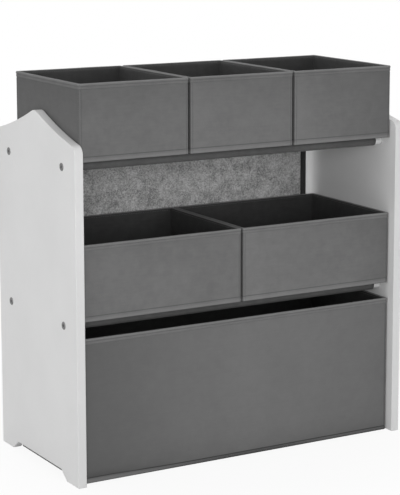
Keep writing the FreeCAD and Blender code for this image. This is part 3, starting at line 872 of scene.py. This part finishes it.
def rim_binding(low, high, seed, levels):
    """low and high are the corners of the bin's outer box, levels is how much painted shade it
    gets.
    """
    middle, half = (low + high) / 2, (high - low) / 2
    shape = bmesh.new()
    bmesh.ops.create_grid(shape, x_segments=1, y_segments=1, size=1)
    bmesh.ops.scale(shape, vec=(half.x, half.y, 1), verts=shape.verts)
    bmesh.ops.translate(shape, vec=(middle.x, middle.y, high.z), verts=shape.verts)
    round_off(shape, shape.verts[:], "VERTICES", RIM_RADIUS, RIM_ROUNDS)
    bmesh.ops.delete(shape, geom=shape.faces[:], context="FACES_ONLY")
    for edge in [edge for edge in shape.edges if edge.calc_length() > RIM_PITCH]:
        cuts = round(edge.calc_length() / RIM_PITCH)
        bmesh.ops.subdivide_edges(shape, edges=[edge], cuts=cuts)

    def to_section(verts, old, new):
        inwards, up = [n - o for n, o in zip(new, old)]
        share = [1 - inwards * MM / (half[axis] - old[0] * MM) for axis in (0, 1)]
        space = Matrix.Translation(-middle)
        bmesh.ops.scale(shape, vec=(share[0], share[1], 1), verts=verts, space=space)
        bmesh.ops.translate(shape, vec=(0, 0, up * MM), verts=verts)

    first = shape.edges[:]
    to_section(shape.verts[:], (0, 0), RIM_SECTION[0])
    ring = first
    for old, new in zip(RIM_SECTION, RIM_SECTION[1:]):
        grown = bmesh.ops.extrude_edge_only(shape, edges=ring)["geom"]
        ring = [item for item in grown if isinstance(item, bmesh.types.BMEdge) and item.is_boundary]
        verts = list({vert for edge in ring for vert in edge.verts})
        to_section(verts, old, new)
    bmesh.ops.bridge_loops(shape, edges=first + ring)
    bmesh.ops.recalc_face_normals(shape, faces=shape.faces[:])
    highlight_and_shade = shape.verts.layers.float.new("highlight_and_shade")
    painted_shade = shape.verts.layers.float.new("painted_shade")
    for vert in shape.verts:
        vert[painted_shade] = levels * SHADE_LEVEL
        height = (vert.co.z - high.z) / MM
        # painted highlight on the rolled edge, painted shade at the crease and where it is sewn
        # down
        sewn_down = 1 - eased(height, *RIM_FOOT)
        dent_shade = max(0.8 * pressed(height - RIM_CREASE, 0.7), 0.6 * sewn_down)
        vert[highlight_and_shade] = 0.8 * eased(height, *RIM_ROLL) - dent_shade
        vert.co.z += 0.22 * ripple((vert.co.x, vert.co.y, 0), 55, seed) * MM
    return shape


# %% [markdown]
# The bottom is a board of its own in a cloth cover, dropped in from above: a thin box whose
# edges are rounded and whose top is crowned a little between its seams.

# %% Bottom cover
COVER_RADIUS, COVER_ROUNDS = 1.3 * MM, 3
COVER_SEAM = [6 * MM, 7.5 * MM]
COVER_PITCH = 12 * MM


def bottom_cover(low, high, seed):
    shape = full_box(low, high)
    round_off(shape, shape.edges[:], "EDGES", COVER_RADIUS, COVER_ROUNDS)
    cut_loops(shape, 0, steps_between(low.x, high.x, COVER_SEAM, COVER_PITCH))
    cut_loops(shape, 1, steps_between(low.y, high.y, COVER_SEAM, COVER_PITCH))
    middle, half = (low + high) / 2, (high - low) / 2
    for vert in shape.verts:
        if vert.co.z < high.z - 0.1 * MM:
            continue
        inside = min(half[axis] - abs(vert.co[axis] - middle[axis]) for axis in (0, 1))
        swell = 0.5 + 0.35 * ripple(vert.co, 45, seed + 9)
        vert.co.z += eased(inside, 7 * MM, 30 * MM) * swell * MM
    return shape


# %% [markdown]
# The seams of a bin are rows of stitches: round the binding outside and inside, above the
# bottom hem, on both sides of each sewn corner, and round the bottom cover.

# %% Bin seams
CORNER_ROW, CORNER_ENDS, CORNER_INSET = 2.9 * MM, 11 * MM, 0.12 * MM
COVER_ROW, COVER_RISE = Vector((6.5, 6.5, 0)) * MM, 0.05 * MM


def bin_stitches(low, high, cover_low, cover_high, hem_height):
    shape = bmesh.new()
    middle, half = (low + high) / 2, (high - low) / 2

    def round_walls(inset, height, facing, margin):
        """facing is 1 for a row outside and -1 for one inside, margin is kept at corners."""
        for axis in (0, 1):
            for sign in (-1, 1):
                out = Vector((0, 0, 0))
                out[axis] = sign
                start = Vector((middle.x, middle.y, height))
                start[axis] += sign * (half[axis] - inset)
                end = start.copy()
                start[1 - axis] -= half[1 - axis] - margin
                end[1 - axis] += half[1 - axis] - margin
                sew(shape, start, end, out * facing)

    round_walls(inset=-0.24 * MM, height=high.z - 7.0 * MM, facing=1, margin=4 * MM)
    round_walls(inset=4.32 * MM, height=high.z - 3.4 * MM, facing=-1, margin=8 * MM)
    round_walls(inset=0.30 * MM, height=low.z + 0.72 * hem_height, facing=1, margin=4 * MM)
    for axis in (0, 1):
        for sign in (-1, 1):
            for end_sign in (-1, 1):
                out = Vector((0, 0, 0))
                out[axis] = sign
                foot = Vector((middle.x, middle.y, low.z + CORNER_ENDS))
                foot[axis] += sign * (half[axis] - CORNER_INSET)
                foot[1 - axis] += end_sign * (half[1 - axis] - CORNER_ROW)
                head = foot.copy()
                head.z = high.z - CORNER_ENDS
                sew(shape, foot, head, out)
    left, front, _ = cover_low + COVER_ROW
    right, rear, _ = cover_high - COVER_ROW
    top = cover_high.z + COVER_RISE
    ring = [(left, front), (right, front), (right, rear), (left, rear)]
    for start, end in zip(ring, ring[1:] + ring[:1]):
        sew(shape, (*start, top), (*end, top), (0, 0, 1))
    return shape


# %% [markdown]
# The bins share one pattern and differ in size, hem and tone. No two fronts are equally lit and
# each falls off in its own way, so each bin has its own list of painted shade. The linings are
# lit and shaded copies of one cloth, with more painted shade from row to row.

# %% Cloth for the bins
# the last two greys are the painted highlight of a fold and the painted shade of a crease
BIN_CLOTH = bonded_cloth("bin_cloth", grey(111), grey(125), grey(127), grey(82))
RIM_CLOTH = bonded_cloth("rim_cloth", grey(107), grey(122), grey(131), grey(86))
WIDE_BIN_CLOTH = bonded_cloth("wide_bin_cloth", grey(112), grey(120), grey(126), grey(46))
# painted shade: the linings are darker from row to row
LININGS = {
    "upper": bonded_cloth("upper_lining", grey(67), grey(81), grey(88), grey(54)),
    "middle": bonded_cloth("middle_lining", grey(60), grey(73), grey(78), grey(46)),
    "lower": bonded_cloth("lower_lining", grey(52), grey(65), grey(70), grey(38)),
}
THREAD = twisted_thread("grey_thread", grey(96), grey(128))
DARK_THREAD = twisted_thread("dark_thread", grey(40), grey(62))
# painted shade of each bin
BIN_PAINTED_SHADES = {  # levels of grey taken off at five places from left to right, and at the top
    "upper_left_bin": ([8, 8, 7, 7, 7], 6),
    "upper_center_bin": ([4, 5, 6, 7, 8], 5),
    "upper_right_bin": ([3, 6, 9, 11, 14], 3),
    "middle_left_bin": ([8, 6, 5, 5, 5], 1),
    "middle_right_bin": ([0, 3, 4, 6, 13], 2),
    "lower_bin": ([15, 8, 1, 3, 7], 0),
}
# painted shade on the rims of the upper row, in levels of grey
UPPER_RIM_SHADE = 6
HEM_HEIGHT, FLOOR_HEM_HEIGHT = 8.5 * MM, 6.4 * MM
print("shades for", len(BIN_PAINTED_SHADES), "bins and linings for", len(LININGS), "rows")


# %% Make the six bins
def shrunk(low, high, sides, bottom, top):
    """A box made smaller by sides, bottom and top, in millimetres."""
    return low + Vector((sides, sides, bottom)) * MM, high - Vector((sides, sides, top)) * MM


for seed, (name, (shades, top_shade)) in enumerate(BIN_PAINTED_SHADES.items(), start=1):
    rim_low, rim_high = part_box(f"{name}_rim_binding")
    shell_low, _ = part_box(f"{name}_shell")
    cover_low, cover_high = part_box(f"{name}_base_board")
    low, high = Vector((rim_low.x, rim_low.y, shell_low.z)), rim_high
    level = name.split("_")[0]
    on_floor, lining = level == "lower", LININGS[level]
    fabric = WIDE_BIN_CLOTH if on_floor else BIN_CLOTH
    hem_height = FLOOR_HEM_HEIGHT if on_floor else HEM_HEIGHT
    # whether the bin stands on the floor, and its painted shade
    tone = (float(on_floor), shades, top_shade)
    shape = outer_cloth(*shrunk(low, high, 0.6, 0, 0.8), seed, hem_height, *tone)
    sewn_piece(f"{name}_outer_cloth", shape, fabric, name, [f"{name}_shell"], CLOTH)
    shape = lining_cloth(*shrunk(low, high, 4.3, 1.5, 0.8), seed)
    node = f"{name}_lining"
    sewn_piece(f"{name}_lining_cloth", shape, lining, name, [node], LINING)
    shape = rim_binding(low, high, seed, UPPER_RIM_SHADE if level == "upper" else 0)
    sewn_piece(f"{name}_rim", shape, RIM_CLOTH, name, [f"{name}_rim_binding"])
    shape = bottom_cover(cover_low, cover_high, seed)
    node = f"{name}_base_board"
    sewn_piece(f"{name}_bottom_cover", shape, lining, name, [node])
    shape = bin_stitches(low, high, cover_low, cover_high, hem_height)
    stitches = sewn_piece(f"{name}_stitches", shape, THREAD, name)
    print(name, "has", len(stitches.data.polygons), "faces of thread")

# %% [markdown]
# ## The cloth shelves
# Each shelf is one length of cloth that goes over the front tube, back round it and under
# itself, where it is sewn down, and the same at the rear. One edge of the cloth, lying on top
# of the front tube, is spun round the tube and then extruded along under the shelf. From the same
# edge the shelf itself is extruded to the middle, and the rear half is its mirror image.

# %% Spin and extrude a row of edges
def edges_of(items):
    return [item for item in items if isinstance(item, bmesh.types.BMEdge)]


def verts_of(items):
    return [item for item in items if isinstance(item, bmesh.types.BMVert)]


def spun(shape, row, centre, axis, angle, steps):
    """Spins a row of edges round an axis and gives back its last copy."""
    turn = {"cent": centre, "axis": axis, "angle": angle, "steps": steps}
    made = bmesh.ops.spin(shape, geom=row, dvec=(0, 0, 0), use_merge=False, **turn)
    return edges_of(made["geom_last"])


def extruded(shape, row, step):
    """Extrudes a row of edges by one step and gives back the new row."""
    made = bmesh.ops.extrude_edge_only(shape, edges=row)["geom"]
    ends = set(verts_of(made))
    bmesh.ops.translate(shape, vec=step, verts=list(ends))
    return [edge for edge in edges_of(made) if all(vert in ends for vert in edge.verts)]


# %% Shelf cloth
SHELF_CLOTH = 1.0 * MM
WRAP = math.radians(300)
WRAP_STEPS = 26
SEAM_ALLOWANCE = [(0, 4.1, 1.6), (0, 4.0, 0.4), (0, 5.0, 0), (0, 5.0, 0)]
SHELF_CUTS, SHELF_STEPS = 63, 12
SAG_ENDS = (14 * MM, 70 * MM)
SLEEVE_REACH = 8 * MM


def shelf_cloth(low, high, axis_z, seed):
    """The rear half is the front half's mirror image. axis_z is the height of the tubes."""
    shape = bmesh.new()
    ends = [shape.verts.new((x, -TUBE_Y, high.z)) for x in (low.x, high.x)]
    bmesh.ops.subdivide_edges(shape, edges=[shape.edges.new(ends)], cuts=SHELF_CUTS)
    first = shape.edges[:]
    row = spun(shape, first, (0, -TUBE_Y, axis_z), (1, 0, 0), WRAP, WRAP_STEPS)
    for step in SEAM_ALLOWANCE:
        row = extruded(shape, row, Vector(step) * MM)
    row = first
    for _ in range(SHELF_STEPS):
        row = extruded(shape, row, (0, TUBE_Y / SHELF_STEPS, 0))
    everything = shape.verts[:] + shape.edges[:] + shape.faces[:]
    bmesh.ops.mirror(shape, geom=everything, matrix=Matrix.Identity(4), merge_dist=1e-5, axis="Y")
    bmesh.ops.remove_doubles(shape, verts=shape.verts[:], dist=1e-6)
    bmesh.ops.recalc_face_normals(shape, faces=shape.faces[:])
    top = next(face for face in shape.faces if abs(face.calc_center_median().y) < 10 * MM)
    if top.normal.z < 0:
        bmesh.ops.reverse_faces(shape, faces=shape.faces[:])
    shape.normal_update()
    for vert in shape.verts:
        inwards = TUBE_Y - abs(vert.co.y)
        on_top = vert.co.z > high.z - 0.2 * MM
        sag = eased(inwards, *SAG_ENDS) * (0.8 + 0.35 * ripple(vert.co, 70, seed))
        if on_top and inwards > 0:
            vert.co.z -= sag * MM
        elif inwards < SLEEVE_REACH:
            vert.co += vert.normal * max(0, 0.22 * ripple(vert.co, 16, seed) + 0.05) * MM
    return shape


# %% [markdown]
# The seam that closes a sleeve goes through the shelf, so its stitches show above and below. A
# flat length is worked out from the way round a tube and the seam allowance, and printed.

# %% Make the shelves
SLING_CLOTH = bonded_cloth("sling_cloth", grey(77), grey(92), grey(96), grey(62))
SHELF_TUBES = {"middle": LOWER_TUBE_Z, "upper": UPPER_TUBE_Z}
SHELF_ROW, SHELF_ROW_ENDS = 19 * MM, 3 * MM
UNDERSIDE = 6.0 * MM  # of the shelf, above the axis of its tubes

for seed, (level, axis_z) in enumerate(SHELF_TUBES.items(), start=11):
    low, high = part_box(f"{level}_shelf_sling")
    shape = shelf_cloth(low, high, axis_z, seed)
    name, node = f"{level}_shelf_cloth", f"{level}_shelf_sling"
    shelf = sewn_piece(name, shape, SLING_CLOTH, "frame", [node], SHELF_CLOTH)
    seams = bmesh.new()
    left, right = low.x + SHELF_ROW_ENDS, high.x - SHELF_ROW_ENDS
    for sign in (-1, 1):
        for z, out in ((high.z + 0.02 * MM, 1), (axis_z + UNDERSIDE, -1)):
            y = sign * (TUBE_Y - SHELF_ROW)
            sew(seams, (left, y, z), (right, y, z), (0, 0, out))
    stitches = sewn_piece(f"{level}_shelf_stitches", seams, DARK_THREAD, "frame")
    wrapped = (high.z - axis_z - SHELF_CLOTH / 2) * WRAP
    allowance = sum(Vector(step).length for step in SEAM_ALLOWANCE) * MM
    length = 2 * (TUBE_Y + wrapped + allowance)
    print(f"{level} shelf cloth is cut {high.x - low.x:.3f} by {length:.3f} m")

# %% [markdown]
# ## The felt back
# The felt is a plain rectangle sewn to the backs of the two rear sleeves, and it hangs almost
# flat between them, so a grid with a few soft waves is enough.

# %% Felt
FELT = 1.6 * MM
FELT_PITCH = 8 * MM
FELT_SEAM, FELT_END, FELT_FREE = 18 * MM, 12 * MM, 60 * MM


def felt_cloth(low, high):
    shape = bmesh.new()
    size, middle = high - low, (low + high) / 2
    counts = [round(size.x / FELT_PITCH), round(size.z / FELT_PITCH)]
    bmesh.ops.create_grid(shape, x_segments=counts[0], y_segments=counts[1], size=0.5)
    bmesh.ops.scale(shape, vec=(size.x, size.z, 1), verts=shape.verts)
    bmesh.ops.rotate(shape, matrix=Matrix.Rotation(math.pi / 2, 3, "X"), verts=shape.verts)
    bmesh.ops.translate(shape, vec=middle, verts=shape.verts)
    for vert in shape.verts:
        free = eased(min(vert.co.z - low.z, high.z - vert.co.z), FELT_SEAM, FELT_FREE)
        free *= eased(min(vert.co.x - low.x, high.x - vert.co.x), FELT_END, FELT_FREE)
        waves = 1.5 * ripple(vert.co, 110, 21) + 0.5 * ripple(vert.co, 35, 22)
        vert.co.y += free * waves * MM
    return shape


# %% [markdown]
# A tape is folded over each free end of the felt: a straight edge is spun half round the felt's
# end, and both legs are extruded from it.

# %% Tape
TAPE = 0.7 * MM
TAPE_CUTS, TAPE_ROUNDS, TAPE_STEPS = 23, 8, 4


def folded_tape(low, high, outer_side):
    """A tape folded over the felt's end, open towards the middle."""
    shape = bmesh.new()
    radius = (high.y - low.y) / 2
    fold_x = (high.x - radius) if outer_side > 0 else (low.x + radius)
    step = (-outer_side * (high.x - low.x - radius) / TAPE_STEPS, 0, 0)
    ends = [shape.verts.new((fold_x, low.y, z)) for z in (low.z, high.z)]
    bmesh.ops.subdivide_edges(shape, edges=[shape.edges.new(ends)], cuts=TAPE_CUTS)
    first = shape.edges[:]
    centre = (fold_x, low.y + radius, 0)
    last = spun(shape, first, centre, (0, 0, outer_side), math.pi, TAPE_ROUNDS)
    for row in (first, last):
        for _ in range(TAPE_STEPS):
            row = extruded(shape, row, step)
    bmesh.ops.recalc_face_normals(shape, faces=shape.faces[:])
    shape.normal_update()
    fold_face = max(shape.faces, key=lambda face: face.calc_center_median().x * outer_side)
    if fold_face.normal.x * outer_side < 0:
        bmesh.ops.reverse_faces(shape, faces=shape.faces[:])
    return shape


# %% Make the back
TAPE_ROW, TAPE_ROW_ENDS, FELT_ROW_ENDS = 2.4 * MM, 3 * MM, 4 * MM

felt_low, felt_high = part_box("back_panel")
shape = felt_cloth(felt_low, felt_high)
needled = needled_felt()
felt = sewn_piece("back_felt", shape, needled, "frame", ["back_panel"], FELT, 0.0)
tape_finish = twill_tape()
seams = bmesh.new()
for side, outer_side in (("left", -1), ("right", 1)):
    name, node = f"back_{side}_tape", f"back_panel_{side}_edging"
    low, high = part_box(node)
    shape = folded_tape(low, high, outer_side)
    sewn_piece(name, shape, tape_finish, "frame", [node], TAPE)
    inner = (low.x if outer_side > 0 else high.x) + outer_side * TAPE_ROW
    foot, head = low.z + TAPE_ROW_ENDS, high.z - TAPE_ROW_ENDS
    for y, out in ((low.y, -1), (high.y, 1)):
        sew(seams, (inner, y, foot), (inner, y, head), (0, out, 0))
left, right = felt_low.x + FELT_ROW_ENDS, felt_high.x - FELT_ROW_ENDS
for z in (LOWER_TUBE_Z, UPPER_TUBE_Z):
    sew(seams, (left, felt_high.y, z), (right, felt_high.y, z), (0, 1, 0))
felt_stitches = sewn_piece("back_stitches", seams, DARK_THREAD, "frame")
